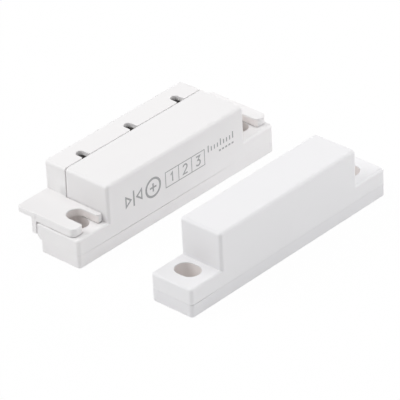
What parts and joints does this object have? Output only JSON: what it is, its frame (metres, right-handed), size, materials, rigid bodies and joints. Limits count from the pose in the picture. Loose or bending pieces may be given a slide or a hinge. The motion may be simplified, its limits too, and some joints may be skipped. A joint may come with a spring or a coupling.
{
  "type": "magnetic door contact",
  "caption": "Surface magnetic door contact: a switch unit with a slide-on cover over its screw terminals, and a matching magnet unit, both with slotted mounting ears.",
  "frame": {"origin": "middle of the pair's outline on the mounting plane", "axes": "+X along both units, +Y from the magnet unit towards the switch unit and its terminals, +Z away from the wall"},
  "size_m": [0.065, 0.0512, 0.0164],
  "materials": {
    "housing_white": "satin moulded white",
    "base_white": "satin moulded white",
    "cover_white": "satin moulded white",
    "terminal_brass": "plated brass strip",
    "washer_steel": "zinc plated",
    "screw_steel": "nickel plated",
    "tinned_copper": "tinned wire",
    "reed_alloy": "drawn nickel-iron",
    "reed_glass": "clear, faint green",
    "potting": "cast compound",
    "magnet_alloy": "ground cast magnet"
  },
  "bodies": {
    "housings": {"switch_housing": "housing_white", "switch_base_plate": "base_white", "magnet_housing": "housing_white", "magnet_base_plate": "base_white", "bar_magnet": "magnet_alloy", "reed_glass_tube": "reed_glass", "reed_common_blade": "reed_alloy", "reed_nc_contact": "reed_alloy", "reed_no_contact": "reed_alloy", "potting_compound": "potting", "terminal_plate_common": "terminal_brass", "jumper_lead_common": "tinned_copper", "terminal_plate_nc": "terminal_brass", "jumper_lead_nc": "tinned_copper", "terminal_plate_no": "terminal_brass", "jumper_lead_no": "tinned_copper"},
    "cover": {"terminal_cover": "cover_white"},
    "washer_common": {"clamp_washer_common": "washer_steel"},
    "screw_common": {"terminal_screw_common": "screw_steel"},
    "washer_nc": {"clamp_washer_nc": "washer_steel"},
    "screw_nc": {"terminal_screw_nc": "screw_steel"},
    "washer_no": {"clamp_washer_no": "washer_steel"},
    "screw_no": {"terminal_screw_no": "screw_steel"}
  },
  "joints": [
    {"name": "cover_slide", "type": "slide", "parent": "housings", "child": "cover", "axis": [0, 1, 0], "range_m": [0, 0.018]},
    {"name": "washer_lift_common", "type": "slide", "parent": "housings", "child": "washer_common", "axis": [0, 0, 1], "range_m": [0, 0.0009]},
    {"name": "screw_turn_common", "type": "hinge", "parent": "washer_common", "child": "screw_common", "pos_m": [-0.0159, 0.02127, 0.009], "axis": [0, 0, 1], "range_deg": [0, 720]},
    {"name": "washer_lift_nc", "type": "slide", "parent": "housings", "child": "washer_nc", "axis": [0, 0, 1], "range_m": [0, 0.0009]},
    {"name": "screw_turn_nc", "type": "hinge", "parent": "washer_nc", "child": "screw_nc", "pos_m": [-0.0005, 0.02127, 0.009], "axis": [0, 0, 1], "range_deg": [0, 720]},
    {"name": "washer_lift_no", "type": "slide", "parent": "housings", "child": "washer_no", "axis": [0, 0, 1], "range_m": [0, 0.0009]},
    {"name": "screw_turn_no", "type": "hinge", "parent": "washer_no", "child": "screw_no", "pos_m": [0.0149, 0.02127, 0.009], "axis": [0, 0, 1], "range_deg": [0, 720]}
  ],
  "couplings": [
    {"joint": "screw_turn_common", "follows": "washer_lift_common", "rad_per_m": 13963},
    {"joint": "screw_turn_nc", "follows": "washer_lift_nc", "rad_per_m": 13963},
    {"joint": "screw_turn_no", "follows": "washer_lift_no", "rad_per_m": 13963}
  ]
}
